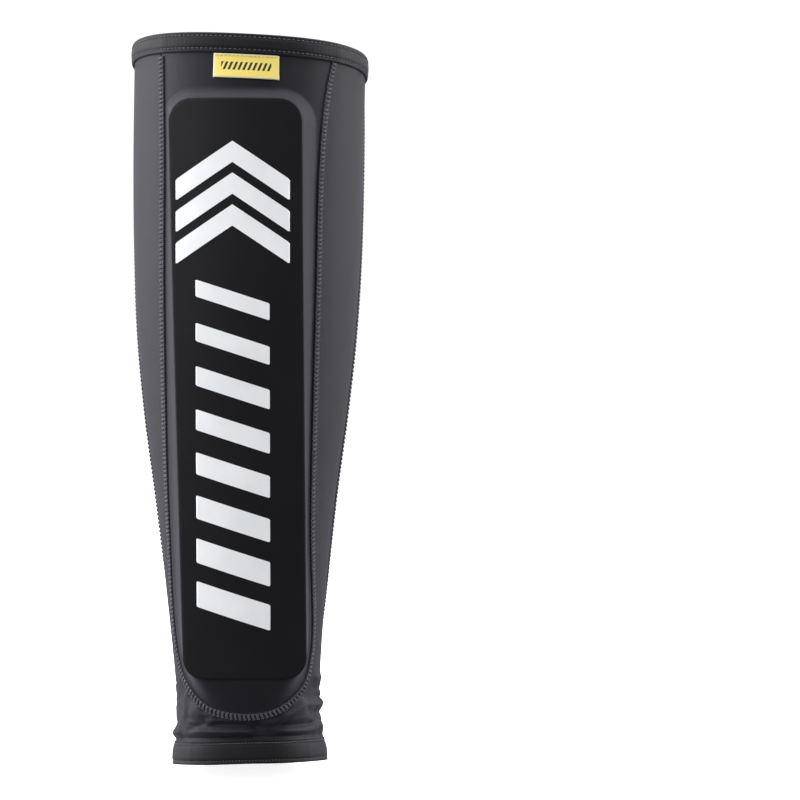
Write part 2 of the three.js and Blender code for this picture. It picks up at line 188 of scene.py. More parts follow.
def folds(turn, z):
    """How far the bunched cloth stands proud of the smooth sleeve."""
    above = z - bottom_edge(turn) - BOTTOM_HEM
    proud = np.zeros(np.broadcast(turn, z).shape)
    for from_turn, start, to_turn, end, half, height in FOLDS:
        middle = (from_turn + to_turn) / 2
        s = ((turn - middle + 180) % 360 - 180) * ARC_PER_DEGREE
        reach = (to_turn - from_turn) / 2 * ARC_PER_DEGREE
        rise = (end - start) / 2
        off = above - (start + end) / 2
        length = math.hypot(reach, rise)
        along = (s * reach + off * rise) / length
        across = (off * reach - s * rise) / length
        fade = np.clip((length - np.abs(along)) / (0.45 * length), 0, 1)
        proud += height * fade**2 * (3 - 2 * fade) * np.exp(-((across / half) ** 2))
    return proud


def cloth_point(turn, z, proud=0.0):
    """A place on the sleeve's cloth, with its folds."""
    return leg_point(turn, z, proud + folds(turn, z))


# ---------------------------------------------------------------------------------------------
# Lines on the front: the U seam and the pad's outline, as (x, z)

SEAM_POINTS = np.array([
    (-38.8, 351), (-38.2, 302), (-38.2, 232), (-36.4, 127), (-32.6, 64), (-27.5, 48), (-17, 37),
    (1, 33), (17, 35.5), (28.5, 45), (33, 62), (33.4, 127), (36.4, 232), (38.2, 300), (40.8, 330),
    (44.6, 351),
], float)


def spaced(line, count):
    """count places evenly along a polyline."""
    run = np.r_[0, np.cumsum(np.linalg.norm(np.diff(line, axis=0), axis=1))]
    at = np.linspace(0, run[-1], count)
    return np.stack([np.interp(at, run, line[:, k]) for k in range(line.shape[1])], -1)


def rounded_path(points, steps=40):
    """A centripetal Catmull-Rom curve through the points."""
    ends = [2 * points[0] - points[1]], [2 * points[-1] - points[-2]]
    p = np.concatenate([ends[0], points, ends[1]])
    gap = np.linalg.norm(np.diff(p, axis=0), axis=1)[:, None] ** 0.5
    line = []
    for i in range(1, len(p) - 2):
        g0, g1, g2 = gap[i - 1], gap[i], gap[i + 1]
        start = (p[i] - p[i - 1]) / g0 - (p[i + 1] - p[i - 1]) / (g0 + g1) + (p[i + 1] - p[i]) / g1
        end = (p[i + 1] - p[i]) / g1 - (p[i + 2] - p[i]) / (g1 + g2) + (p[i + 2] - p[i + 1]) / g2
        t = np.linspace(0, 1, steps, endpoint=False)[:, None]
        start, end, step = start * g1, end * g1, p[i + 1] - p[i]
        line.append(p[i] + start * t + (3 * step - 2 * start - end) * t**2
                    + (start + end - 2 * step) * t**3)
    return np.concatenate(line + [p[-2:-1]])


def seam_line(count):
    """The U seam from its top left end round to its top right end, as (turn, z)."""
    line = spaced(rounded_path(SEAM_POINTS), count)
    turn = turn_at(line[:, 0], line[:, 1])
    z = np.minimum(line[:, 1], tuck_top(turn))
    z[0], z[-1] = tuck_top(turn[0]), tuck_top(turn[-1])
    return turn, z


def pad_middle(z):
    return PAD_LEAN * (0.5 - (z - PAD_LOW) / (PAD_HIGH - PAD_LOW))


def face_y(x, z):
    return shin_line(z) - PAD_RISE + (x - pad_middle(z)) ** 2 / (2 * PAD_BEND)


def face_outline(count):
    """The outline of the pad's face, anticlockwise from the middle of its bottom edge, with its
    normals. Both halves have the same number of places."""
    low_x, top_x = pad_middle(PAD_LOW), pad_middle(PAD_HIGH)
    low_in, top_in = PAD_HALF_BOTTOM - PAD_RADIUS_LOW, PAD_HALF_TOP - PAD_RADIUS_HIGH
    low_z, top_z = PAD_LOW + PAD_RADIUS_LOW, PAD_HIGH - PAD_RADIUS_HIGH
    corners = [
        (low_x - low_in, low_z, PAD_RADIUS_LOW, 180), (low_x + low_in, low_z, PAD_RADIUS_LOW, 270),
        (top_x + top_in, top_z, PAD_RADIUS_HIGH, 0), (top_x - top_in, top_z, PAD_RADIUS_HIGH, 90),
    ]
    arcs = []
    for x, z, radius, start in corners:
        a = np.radians(np.linspace(start, start + 90, 60))
        arcs.append(np.stack([x + radius * np.cos(a), z + radius * np.sin(a)], -1))
    bottom, top = np.array([[low_x, PAD_LOW]]), np.array([[top_x, PAD_HIGH]])
    right = spaced(np.concatenate([bottom, arcs[1], arcs[2], top]), count // 2 + 1)
    left = spaced(np.concatenate([top, arcs[3], arcs[0], bottom]), count // 2 + 1)
    edge = np.concatenate([right[:-1], left[:-1]])
    along = np.roll(edge, -1, 0) - np.roll(edge, 1, 0)
    out = np.stack([along[:, 1], -along[:, 0]], -1)
    return edge, out / np.linalg.norm(out, axis=1, keepdims=True)


def reach_to(line, start, out):
    """How far each ray from start along out goes before it crosses the polyline."""
    a, b = line[None, :-1], line[None, 1:]
    side = b - a
    cross = out[:, None, 0] * side[..., 1] - out[:, None, 1] * side[..., 0]
    cross = np.where(np.abs(cross) < 1e-9, 1e-9, cross)
    gap = a - start[:, None]
    far = (gap[..., 0] * side[..., 1] - gap[..., 1] * side[..., 0]) / cross
    share = (gap[..., 0] * out[:, None, 1] - gap[..., 1] * out[:, None, 0]) / cross
    far = np.where((share >= 0) & (share <= 1) & (far > 0), far, 1e9)
    return far.min(1)


# ---------------------------------------------------------------------------------------------
# Meshes


def put(points):
    """Millimetres in the CAD part's own frame, as metres in the row frame."""
    return (np.asarray(points, float) + SHIFT) / 1000


def new_piece(name, points, faces, material, coordinates=None, sharp=60):
    """A mesh object from points in millimetres; coordinates feed the weave of its material."""
    mesh = bpy.data.meshes.new(name)
    mesh.from_pydata(put(points).tolist(), [], np.asarray(faces).tolist())
    if coordinates is not None:
        flat = np.zeros((len(points), 3), np.float32)
        flat[:, :2] = coordinates
        made = mesh.attributes.new("cloth_mm", "FLOAT_VECTOR", "POINT")
        made.data.foreach_set("vector", flat.ravel())
    mesh.validate()
    mesh.shade_smooth()
    mesh.set_sharp_from_angle(angle=math.radians(sharp))
    mesh.materials.append(material)
    piece = bpy.data.objects.new(name, mesh)
    bpy.context.scene.collection.objects.link(piece)
    return piece


def grid_faces(rows, columns, closed=False):
    """Quads of a grid whose points run row by row."""
    across = columns if closed else columns - 1
    i, j = np.meshgrid(np.arange(across), np.arange(rows - 1))
    after = (i + 1) % columns
    corners = [j * columns + i, j * columns + after, (j + 1) * columns + after, (j + 1) * columns + i]
    return np.stack(corners, -1).reshape(-1, 4)


def merge_close(piece, distance=0.00002):
    """Joins points that meet, and drops faces with no area."""
    work = bmesh.new()
    work.from_mesh(piece.data)
    bmesh.ops.remove_doubles(work, verts=work.verts, dist=distance)
    bmesh.ops.dissolve_degenerate(work, edges=work.edges, dist=distance)
    work.to_mesh(piece.data)
    work.free()


def thicken(piece, thickness):
    """Gives a sheet its thickness on the leg's side, millimetres."""
    solid = piece.modifiers.new("thickness", "SOLIDIFY")
    solid.thickness = thickness / 1000
    solid.offset = -1
    solid.use_even_offset = False
    solid.use_rim = True


def grid_piece(name, grid, material, coordinates, closed=False, flip=False):
    """A piece from a grid of points (rows, columns, 3), facing out where flip is right."""
    rows, columns = grid.shape[:2]
    faces = grid_faces(rows, columns, closed)
    if flip:
        faces = faces[:, ::-1]
    return new_piece(name, grid.reshape(-1, 3), faces, material, coordinates.reshape(-1, 2))


def hoop(name, section, edge, material, columns=720, bumps=None):
    """A closed section of (proud, height) swept once round the leg, along edge(turn)."""
    turn = np.arange(columns) * 360.0 / columns
    proud, height = np.array(section, float).T[:, :, None]
    if bumps is not None:
        proud = proud + bumps(turn[None])
    z = edge(turn)[None] + height
    grid = leg_point(turn[None] + 0 * z, z, proud)
    run = np.broadcast_to(np.radians(turn)[None] * 52, z.shape)
    along = np.broadcast_to(np.cumsum(np.r_[0, np.hypot(*np.diff(np.array(section).T))])[:, None], z.shape)
    faces = grid_faces(len(section) + 1, columns, closed=True) % (len(section) * columns)
    coordinates = np.stack([run, along], -1).reshape(-1, 2)
    return new_piece(name, grid.reshape(-1, 3), faces[:, ::-1], material, coordinates, 75)


def threads(name, starts, ends, outward, radius, material, arch=0.5, sides=6):
    """One mesh of short stitches, each a thread that rises from start and dives in again at end."""
    starts, ends, outward = (np.asarray(v, float) for v in (starts, ends, outward))
    along = np.array([0.0, 0.18, 0.5, 0.82, 1.0])
    lift = np.array([-0.7, 0.55, 1.0, 0.55, -0.7]) * radius * (1 + arch)
    thick = np.array([0.55, 0.95, 1.0, 0.95, 0.55]) * radius
    direction = ends - starts
    direction /= np.linalg.norm(direction, axis=1, keepdims=True)
    side = np.cross(direction, outward)
    side /= np.linalg.norm(side, axis=1, keepdims=True)
    up = np.cross(side, direction)
    centre = starts[:, None] + (ends - starts)[:, None] * along[:, None] + outward[:, None] * lift[:, None]
    a = np.arange(sides) * 2 * math.pi / sides
    ring = side[:, None] * np.cos(a)[:, None] + up[:, None] * np.sin(a)[:, None]
    points = centre[:, :, None] + ring[:, None] * thick[:, None, None]
    stitch = grid_faces(len(along), sides, closed=True)
    count = len(along) * sides
    first = (np.arange(len(starts)) * count)[:, None, None]
    quads = (stitch[None] + first).reshape(-1, 4)
    start_caps = (np.arange(sides)[None, ::-1] + first[:, :, 0]).tolist()
    end_caps = (np.arange(count - sides, count)[None] + first[:, :, 0]).tolist()
    faces = quads.tolist() + start_caps + end_caps
    mesh = bpy.data.meshes.new(name)
    mesh.from_pydata(put(points.reshape(-1, 3)).tolist(), [], faces)
    mesh.validate()
    mesh.shade_smooth()
    mesh.materials.append(material)
    piece = bpy.data.objects.new(name, mesh)
    bpy.context.scene.collection.objects.link(piece)
    return piece


def outward_at(turn, z):
    """The cloth's outward direction."""
    round_it = cloth_point(turn + 0.5, z) - cloth_point(turn - 0.5, z)
    upward = cloth_point(turn, z + 0.5) - cloth_point(turn, z - 0.5)
    out = np.cross(round_it, upward)
    return out / np.linalg.norm(out, axis=-1, keepdims=True)


# ---------------------------------------------------------------------------------------------
# Materials


class Nodes:
    """Short calls for one material's node tree."""

    def __init__(self, name):
        self.material = bpy.data.materials.new(name)
        self.material.use_nodes = True
        self.tree = self.material.node_tree
        self.shader = self.tree.nodes["Principled BSDF"]

    def add(self, kind, **settings):
        node = self.tree.nodes.new(kind)
        for key, value in settings.items():
            if key in node.inputs:
                self.feed(node.inputs[key], value)
            else:
                setattr(node, key, value)
        return node

    def feed(self, socket, value):
        if isinstance(value, bpy.types.NodeSocket):
            self.tree.links.new(value, socket)
        else:
            socket.default_value = value

    def math(self, operation, *values):
        node = self.tree.nodes.new("ShaderNodeMath")
        node.operation = operation
        for socket, value in zip(node.inputs, values):
            self.feed(socket, value)
        return node.outputs[0]

    def place(self):
        """The weave coordinates in millimetres, across and along."""
        found = self.add("ShaderNodeAttribute", attribute_name="cloth_mm")
        split = self.add("ShaderNodeSeparateXYZ", Vector=found.outputs["Vector"])
        return found.outputs["Vector"], split.outputs["X"], split.outputs["Y"]

    def noise(self, vector, scale, detail=2.0, roughness=0.5):
        node = self.add("ShaderNodeTexNoise", Vector=vector, Scale=scale, Detail=detail,
                        Roughness=roughness)
        return node.outputs["Fac"]

    def object_place(self):
        """Object coordinates, metres."""
        return self.add("ShaderNodeTexCoord").outputs["Object"]

    def wave(self, value, pitch, phase=0.0):
        """A ripple from 0 to 1 each pitch."""
        turned = self.math("MULTIPLY_ADD", value, 2 * math.pi / pitch, phase)
        return self.math("MULTIPLY_ADD", self.math("SINE", turned), 0.5, 0.5)

    def blend(self, share, low, high):
        node = self.tree.nodes.new("ShaderNodeMix")
        node.data_type = "RGBA"
        self.feed(node.inputs[0], share)
        self.feed(node.inputs[6], low)
        self.feed(node.inputs[7], high)
        return node.outputs[2]

    def ramp(self, value, low, high, to_low=0.0, to_high=1.0):
        node = self.add("ShaderNodeMapRange")
        for socket, number in zip(node.inputs[1:5], (low, high, to_low, to_high)):
            socket.default_value = number
        self.feed(node.inputs[0], value)
        return node.outputs[0]

    def bump(self, height, distance_mm, strength=1.0, normal=None):
        node = self.add("ShaderNodeBump", Height=height)
        node.inputs["Distance"].default_value = distance_mm / 1000
        node.inputs["Strength"].default_value = strength
        if normal is not None:
            self.feed(node.inputs["Normal"], normal)
        return node.outputs["Normal"]

    def finish(self, color, roughness, normal, specular=0.5, sheen=0.0, sheen_tint=(1, 1, 1),
               sheen_roughness=0.4):
        self.feed(self.shader.inputs["Base Color"], color)
        self.feed(self.shader.inputs["Roughness"], roughness)
        self.feed(self.shader.inputs["Normal"], normal)
        self.shader.inputs["Specular IOR Level"].default_value = specular
        self.shader.inputs["Sheen Weight"].default_value = sheen
        self.shader.inputs["Sheen Tint"].default_value = (*sheen_tint, 1)
        self.shader.inputs["Sheen Roughness"].default_value = sheen_roughness
        return self.material


def rgb(r, g, b):
    return (r, g, b, 1.0)


def knit_cloth(name, dark, light, sheen=0.35, wale=0.62, course=0.5, roughness=0.62):
    """Fine stretch knit: columns of V loops, a soft sheen and slight colour drift."""
    n = Nodes(name)
    where, s, t = n.place()
    skew = n.math("MULTIPLY", n.wave(s, wale), course / 2)
    columns = n.wave(s, wale)
    loops = n.wave(n.math("ADD", t, skew), course)
    height = n.math("MULTIPLY_ADD", columns, 0.6, n.math("MULTIPLY", loops, 0.4))
    drift = n.noise(where, 0.045, 3)
    fuzz = n.noise(where, 1.9, 4, 0.65)
    share = n.math("MULTIPLY_ADD", drift, 0.55, n.math("MULTIPLY", fuzz, 0.45))
    normal = n.bump(height, 0.07, 0.35)
    normal = n.bump(fuzz, 0.12, 0.25, normal)
    color = n.blend(n.ramp(share, 0.3, 0.7), rgb(*dark), rgb(*light))
    rough = n.ramp(fuzz, 0.2, 0.8, roughness - 0.07, roughness + 0.08)
    return n.finish(color, rough, normal, 0.17, sheen, (0.80, 0.79, 1.0), 0.45)


def calf_mesh_cloth():
    """Warp-knit mesh: a staggered lattice of small holes between raised knots."""
    n = Nodes("calf_mesh")
    where, s, t = n.place()
    columns = n.math("COSINE", n.math("MULTIPLY", s, 2 * math.pi / MESH_PITCH))
    rows = n.math("COSINE", n.math("MULTIPLY", t, math.pi / MESH_ROW))
    lattice = n.math("MULTIPLY", columns, rows)
    thread = n.wave(n.math("ADD", s, t), 0.35)
    rib = n.ramp(lattice, -0.55, 0.25)
    height = n.math("MULTIPLY_ADD", rib, 0.85, n.math("MULTIPLY", thread, 0.15))
    fuzz = n.noise(where, 2.2, 3)
    tone = n.math("MULTIPLY", rib, n.ramp(fuzz, 0.2, 0.8, 0.75, 1.0))
    color = n.blend(tone, rgb(0.0004, 0.0004, 0.0005), rgb(0.0062, 0.0058, 0.0062))
    rough = n.ramp(lattice, -0.5, 0.5, 0.9, 0.5)
    return n.finish(color, rough, n.bump(height, 0.35, 0.8), 0.15, 0.05, (0.9, 0.88, 0.9), 0.4)


def face_skin():
    """The pad's black moulded face: smooth, faintly grained rubbery film."""
    n = Nodes("pad_face")
    where, s, t = n.place()
    grain = n.noise(where, 2.6, 5, 0.6)
    cloud = n.noise(where, 0.03, 3)
    color = n.blend(n.ramp(cloud, 0.3, 0.7), rgb(0.0040, 0.0041, 0.0054), rgb(0.0060, 0.0061, 0.0076))
    rough = n.ramp(grain, 0.25, 0.75, 0.44, 0.58)
    return n.finish(color, rough, n.bump(grain, 0.05, 0.35), 0.13)


def print_film():
    """White heat-pressed film, with a fine grain and a faint unevenness."""
    n = Nodes("white_print")
    where = n.object_place()
    grain = n.noise(where, 2600, 3)
    cloud = n.noise(where, 55, 3)
    color = n.blend(n.ramp(cloud, 0.3, 0.7), rgb(0.72, 0.74, 0.77), rgb(0.80, 0.81, 0.83))
    return n.finish(color, n.ramp(grain, 0.2, 0.8, 0.42, 0.55), n.bump(grain, 0.03, 0.3), 0.4)


def sewing_thread(name, dark, light):
    """Twisted filament thread."""
    n = Nodes(name)
    where = n.object_place()
    split = n.add("ShaderNodeSeparateXYZ", Vector=where)
    twist = n.math("ADD", split.outputs["X"], n.math("ADD", split.outputs["Y"], split.outputs["Z"]))
    ply = n.wave(twist, 0.00042)
    tone = n.math("MULTIPLY_ADD", ply, 0.6, n.math("MULTIPLY", n.noise(where, 900, 2), 0.4))
    color = n.blend(tone, rgb(*dark), rgb(*light))
    return n.finish(color, n.ramp(ply, 0, 1, 0.6, 0.45), n.bump(ply, 0.05, 0.7), 0.3, 0.1)


def label_weave():
    """Woven label: cream selvedge, yellow ground and a row of slanted black dashes."""
    n = Nodes("woven_label")
    where, s, t = n.place()
    border, middle = 1.0, LABEL_HEIGHT / 2
    side = n.math("MINIMUM", s, n.math("SUBTRACT", LABEL_WIDTH, s))
    end = n.math("MINIMUM", t, n.math("SUBTRACT", LABEL_HEIGHT, t))
    inside = n.ramp(n.math("MINIMUM", side, end), border - 0.12, border + 0.12)
    weft = n.wave(t, 0.34)
    warp = n.wave(s, 0.42)
    cell = n.math("MULTIPLY_ADD", weft, 0.65, n.math("MULTIPLY", warp, 0.35))
    ground = n.blend(cell, rgb(0.74, 0.56, 0.10), rgb(0.92, 0.78, 0.22))
    edge = n.blend(cell, rgb(0.55, 0.47, 0.22), rgb(0.83, 0.76, 0.46))
    slant = n.math("MULTIPLY_ADD", t, -0.42, s)
    dash = n.math("GREATER_THAN", n.math("PINGPONG", slant, 1.15), 0.56)
    row = n.math("LESS_THAN", n.math("ABSOLUTE", n.math("SUBTRACT", t, middle)), 1.9)
    span = n.math("LESS_THAN", n.math("ABSOLUTE", n.math("SUBTRACT", s, LABEL_WIDTH / 2)), 11.8)
    marked = n.math("MULTIPLY", dash, n.math("MULTIPLY", row, span))
    ink = n.blend(cell, rgb(0.012, 0.011, 0.008), rgb(0.03, 0.028, 0.02))
    color = n.blend(marked, n.blend(inside, edge, ground), ink)
    return n.finish(color, 0.62, n.bump(cell, 0.12, 0.6), 0.3, 0.3)


def elastic_rubber():
    """Ribbed woven elastic."""
    n = Nodes("elastic")
    where, s, t = n.place()
    rib = n.wave(s, 1.1)
    color = n.blend(n.math("MULTIPLY", rib, n.noise(where, 1.5, 3)), rgb(0.005, 0.005, 0.006),
                    rgb(0.03, 0.03, 0.032))
    return n.finish(color, 0.7, n.bump(rib, 0.25, 0.8), 0.3)


def closed_foam():
    """Closed-cell foam with its fine pores."""
    n = Nodes("pad_foam")
    where = n.object_place()
    pores = n.add("ShaderNodeTexVoronoi", Vector=where, Scale=900.0).outputs["Distance"]
    cloud = n.noise(where, 60, 3)
    color = n.blend(cloud, rgb(0.012, 0.012, 0.013), rgb(0.03, 0.03, 0.032))
    return n.finish(color, 0.85, n.bump(pores, 0.2, 0.6), 0.2)


def studio_floor():
    """A pale floor that shows white and soft shadows but throws little light back up."""
    n = Nodes("studio_floor")
    drift = n.noise(n.object_place(), 3, 2)
    color = n.blend(drift, rgb(0.90, 0.90, 0.90), rgb(0.93, 0.93, 0.93))
    n.finish(color, 0.8, n.bump(drift, 0.01, 0.1), 0.1)
    n.shader.inputs["Emission Color"].default_value = rgb(1, 1, 1)
    n.shader.inputs["Emission Strength"].default_value = 0.75
    dim = n.add("ShaderNodeBsdfDiffuse", Color=rgb(0.16, 0.16, 0.16))
    path = n.add("ShaderNodeLightPath")
    mix = n.add("ShaderNodeMixShader")
    n.feed(mix.inputs[0], path.outputs["Is Camera Ray"])
    n.feed(mix.inputs[1], dim.outputs[0])
    n.feed(mix.inputs[2], n.shader.outputs[0])
    n.feed(n.tree.nodes["Material Output"].inputs["Surface"], mix.outputs[0])
    return n.material


CLOTH_LOOK = knit_cloth("stretch_cloth", (0.0080, 0.0080, 0.0110), (0.0130, 0.0130, 0.0172), 0.085)
HEM_LOOK = knit_cloth("hem_cloth", (0.0050, 0.0044, 0.0064), (0.0080, 0.0072, 0.0102), 0.085)
# The seam ridge's cloth is the body knit painted darker: painted shade for the shadow between its stitch
# rungs.
SEAM_PAINTED_SHADE_LOOK = knit_cloth("seam_cloth", (0.0060, 0.0060, 0.0082), (0.0095, 0.0095, 0.0125), 0.10)
MESH_LOOK = calf_mesh_cloth()
LINING_LOOK = knit_cloth("lining_cloth", (0.004, 0.004, 0.0045), (0.009, 0.009, 0.01), 0.1, 1.0, 0.8)
FACE_LOOK = face_skin()
PRINT_LOOK = print_film()
THREAD_LOOK = sewing_thread("seam_thread", (0.030, 0.029, 0.040), (0.120, 0.117, 0.148))
LABEL_THREAD_LOOK = sewing_thread("label_thread", (0.30, 0.22, 0.04), (0.66, 0.52, 0.12))
LABEL_LOOK = label_weave()
ELASTIC_LOOK = elastic_rubber()
FOAM_LOOK = closed_foam()


def in_place(piece, body, slot, *nodes):
    """The piece rides on a body and stands for these CAD nodes."""
    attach(piece, body)
    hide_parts(*nodes)
    return piece


# ---------------------------------------------------------------------------------------------
# Panels


def between_edges(turn, share):
    """The height of a place that lies this share of the way from the bottom tuck to the top one."""
    return tuck_bottom(turn) + share * (tuck_top(turn) - tuck_bottom(turn))


def settle(piece, rows, columns, loose):
    """Cloth simulation of a grid piece: its border is sewn down, the loose places have cloth to
    spare and buckle, and no point moves further than SETTLE_MOST."""
    held = piece.vertex_groups.new(name="held")
    taut = piece.vertex_groups.new(name="taut")
    j, i = np.divmod(np.arange(rows * columns), columns)
    border = np.minimum(np.minimum(j, rows - 1 - j) / 3, np.minimum(i, columns - 1 - i) / 6)
    for index, (near, slack) in enumerate(zip(np.clip(1 - border, 0, 1), loose)):
        held.add([index], float(near if slack > 0.02 else 1.0), "REPLACE")
        taut.add([index], float(1 - slack), "REPLACE")
    start = np.array([v.co[:] for v in piece.data.vertices])
    cloth = piece.modifiers.new("cloth", "CLOTH")
    cloth.settings.quality = 6
    cloth.settings.mass = 0.02
    cloth.settings.bending_stiffness = 0.02
    cloth.settings.vertex_group_mass = held.name
    cloth.settings.vertex_group_shrink = taut.name
    cloth.settings.shrink_min = -SPARE_CLOTH
    cloth.settings.shrink_max = 0.0
    cloth.settings.effector_weights.gravity = 0
    cloth.collision_settings.use_collision = False
    cloth.point_cache.frame_start, cloth.point_cache.frame_end = 1, SETTLE_FRAMES
    for frame_number in range(1, SETTLE_FRAMES + 1):
        bpy.context.scene.frame_set(frame_number)
    ready = piece.evaluated_get(bpy.context.evaluated_depsgraph_get())
    moved = np.array([v.co[:] for v in ready.data.vertices]) - start
    piece.modifiers.remove(cloth)
    bpy.context.scene.frame_set(1)
    far = np.linalg.norm(moved, axis=1, keepdims=True) * 1000
    moved *= SETTLE_MOST * np.tanh(far / SETTLE_MOST) / np.maximum(far, 1e-9)
    piece.data.vertices.foreach_set("co", (start + moved).ravel())
    piece.data.update()


def body_panel():
    """Stretch cloth from the U seam out to the calf mesh and down to the bottom hem."""
    columns, rows = 520, 46
    turn, z = seam_line(columns)
    share = (z - tuck_bottom(turn)) / (tuck_top(turn) - tuck_bottom(turn))
    lowest = int(np.argmin(z))
    corner_left = int(np.argmax(z < 70))
    corner_right = columns - 1 - int(np.argmax(z[::-1] < 66))
    outer_share = np.interp(
        np.arange(columns), [0, corner_left, corner_right, columns - 1], [1, 0, 0, 1])
    level = between_edges(180, outer_share)
    back = 180 - mesh_spread(level)
    round_it = (np.arange(columns) - corner_left) / (corner_right - corner_left)
    bottom_turn = (2 * round_it - 1) * back
    outer_turn = np.where(np.arange(columns) < lowest, -back, back)
    inside = (round_it > 0) & (round_it < 1)
    outer_turn = np.where(inside, bottom_turn, outer_turn)
    v = np.linspace(0, 1, rows)[:, None]
    grid_turn = turn + (outer_turn - turn) * v
    grid_share = share + (outer_share - share) * v
    grid_z = between_edges(grid_turn, grid_share)
    places = np.stack([grid_turn * 0.9, grid_z], -1)
    piece = grid_piece("body_panel", cloth_point(grid_turn, grid_z), CLOTH_LOOK, places, flip=True)
    above = grid_z - bottom_edge(grid_turn) - BOTTOM_HEM
    settle(piece, rows, columns, np.clip((SETTLE_CLEAR - above) / SETTLE_FADE, 0, 1).ravel())
    thicken(piece, CLOTH)
    return in_place(piece, "sleeve", "stretch_cloth", "body_panel")


def pad_rays(columns=540):
    """Rays out of the pad's outline: where each starts, its direction, and how far it goes to the
    foot of the pad's wall and to the panel's outer edge."""
    edge, out = face_outline(columns)
    turn, z = seam_line(900)
    seam = leg_point(turn, z)[:, [0, 2]]
    top_turn = np.linspace(turn[-1], turn[0], 80)
    top = leg_point(top_turn, tuck_top(top_turn))[:, [0, 2]]
    boundary = np.concatenate([seam, top])
    far = reach_to(boundary, edge, out)
    for corner in (seam[0], seam[-1]):
        hit = edge + out * far[:, None]
        near = int(np.argmin(np.linalg.norm(hit - corner, axis=1)))
        out[near] = (corner - edge[near]) / np.linalg.norm(corner - edge[near])
        far[near] = np.linalg.norm(corner - edge[near])
    limit = np.where(out[:, 1] > 0, PAD_SPREAD, 4 * PAD_SPREAD)
    foot = np.minimum(far - SEAM_WIDTH / 2 - 0.4, limit)
    return edge, out, foot, far


def on_leg(x, z, proud=0.0):
    """A place on the front of the cloth with this x and z."""
    turn = turn_at(x, z)
    return cloth_point(turn, z, proud)


def on_face(x, z, depth=0.0):
    """A place on the pad's face, this far behind it."""
    return np.stack(np.broadcast_arrays(x, face_y(x, z) + depth, z), -1)


def inwards(edge, share):
    """Places from the pad's outline in to its long middle line, share 0 to 1."""
    reach = PAD_HALF_BOTTOM - 3
    facing = np.roll(edge[::-1, 1], 1)
    z = np.clip((edge[:, 1] + facing) / 2, PAD_LOW + reach, PAD_HIGH - reach)
    spine = np.stack([pad_middle(z), z], -1)
    return edge + (spine - edge) * share


def curve_rows(a, b, c, d, count):
    """Rows of points along a cubic Bezier from a to d, column by column."""
    t = np.linspace(0, 1, count)[:, None, None]
    s = 1 - t
    return a * s**3 + 3 * b * s**2 * t + 3 * c * s * t**2 + d * t**3


def shin_panel(rays):
    """Cloth inside the U seam, moulded up over the pad: crown, wall, foot and flange."""
    edge, out, foot, far = rays
    crown = [on_face(*inwards(edge, s).T, 0.95) for s in (1, 0.7, 0.4, 0.15, 0.06)]
    start = edge - 1.2 * out
    shoulder = edge + np.minimum(0.35 * foot, 1.6)[:, None] * out
    heel = edge + np.maximum(0.55 * foot, foot - 2.2)[:, None] * out
    toe = edge + (foot + 0.5)[:, None] * out
    a = on_face(*start.T, 0.62)
    b = on_face(*shoulder.T, 0.62)
    c = on_leg(*heel.T)
    d = on_leg(*toe.T)
    wall = curve_rows(a, b, c, d, 22)
    flange = []
    for s in np.linspace(0, 1, 15)[1:] ** 1.3:
        place = edge + (foot + 0.5 + (far - foot - 0.5) * s)[:, None] * out
        flange.append(on_leg(*place.T))
    grid = np.concatenate([np.stack(crown), wall, np.stack(flange)])
    places = grid[..., [0, 2]]
    piece = grid_piece("shin_panel", grid, CLOTH_LOOK, places, closed=True, flip=True)
    merge_close(piece)
    thicken(piece, CLOTH)
    return in_place(piece, "sleeve", "stretch_cloth", "shin_panel")


def pad_face(rays):
    """The black face, a thin moulded skin with a rounded rim."""
    edge, out = rays[:2]
    rim = [(0.12, 0.85), (0.2, 0.6), (0.12, 0.36), (-0.1, 0.18), (-0.45, 0.06), (-0.9, 0.01), (-1.6, 0)]
    rows = [on_face(*(edge + d * out).T, depth) for d, depth in rim]
    rows += [on_face(*inwards(edge - 1.6 * out, s).T) for s in np.linspace(0.06, 1, 16)]
    grid = np.stack(rows)
    piece = grid_piece("pad_face", grid, FACE_LOOK, grid[..., [0, 2]], closed=True)
    merge_close(piece)
    thicken(piece, 0.5)
    return in_place(piece, "sleeve", "pad_face", "pad_face")


def pad_foam(rays):
    """The foam block that fills the moulded pad."""
    edge, out, foot, _ = rays
    front = [on_face(*inwards(edge - 2.2 * out, s).T, 2.2) for s in np.linspace(1, 0, 12)]
    low = edge + (0.6 * foot - 1.8)[:, None] * out
    a = on_face(*(edge - 2.2 * out).T, 2.2)
    d = on_leg(*low.T, -1.3)
    wall = curve_rows(a, a + (d - a) / 3, a + (d - a) * 2 / 3, d, 12)[1:]
    back = [on_leg(*inwards(low, s).T, -1.3) for s in np.linspace(0.05, 1, 12)]
    grid = np.concatenate([np.stack(front), wall, np.stack(back)])
    piece = grid_piece("pad_foam", grid, FOAM_LOOK, grid[..., [0, 2]], closed=True, flip=True)
    merge_close(piece)
    return in_place(piece, "sleeve", "pad_foam", "pad_foam")


def pad_lining(rays):
    """The soft cloth between the foam and the leg, held by the U seam."""
    edge, out, _, far = rays
    limit = np.where(out[:, 1] > 0.5, far - 12, far - 2)
    outer = edge + limit[:, None] * out
    grid = np.stack([on_leg(*inwards(outer, s).T, -1.5) for s in np.linspace(0, 1, 30)])
    piece = grid_piece("pad_lining", grid, LINING_LOOK, grid[..., [0, 2]], closed=True)
    merge_close(piece)
    thicken(piece, 0.6)
    return in_place(piece, "sleeve", "calf_mesh", "pad_lining")


